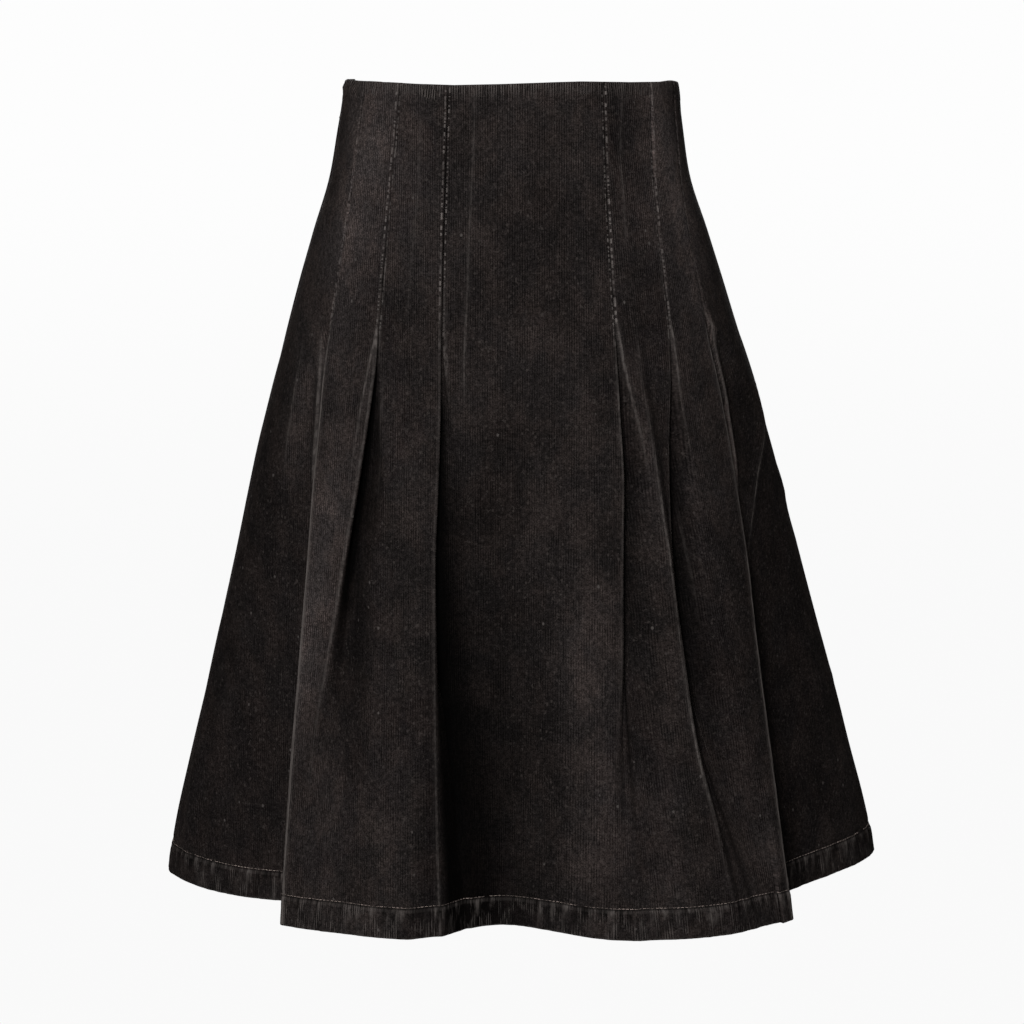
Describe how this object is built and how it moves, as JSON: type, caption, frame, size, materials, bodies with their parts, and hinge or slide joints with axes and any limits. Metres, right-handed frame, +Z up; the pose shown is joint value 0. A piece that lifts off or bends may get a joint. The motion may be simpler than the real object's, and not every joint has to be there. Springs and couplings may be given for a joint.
{
  "type": "pleated corduroy skirt",
  "caption": "Worn knee-length A-line skirt in washed corduroy, with stitched-down pleats across the front and an elastic back waist.",
  "frame": {"origin": "centre of the waist opening at the level of its top edge", "axes": "+Z up along the wearer, front faces -Y, +X is a viewer's right"},
  "size_m": [0.5335, 0.444, 0.5927],
  "materials": {
    "corduroy": "fine-wale cotton corduroy, washed black-brown, matt with worn lighter ridges",
    "casing_cloth": "plain matt cotton",
    "thread": "matt sewing thread"
  },
  "bodies": {
    "root": {"front": "corduroy", "back": "corduroy", "back_casing": "casing_cloth"}
  },
  "joints": []
}
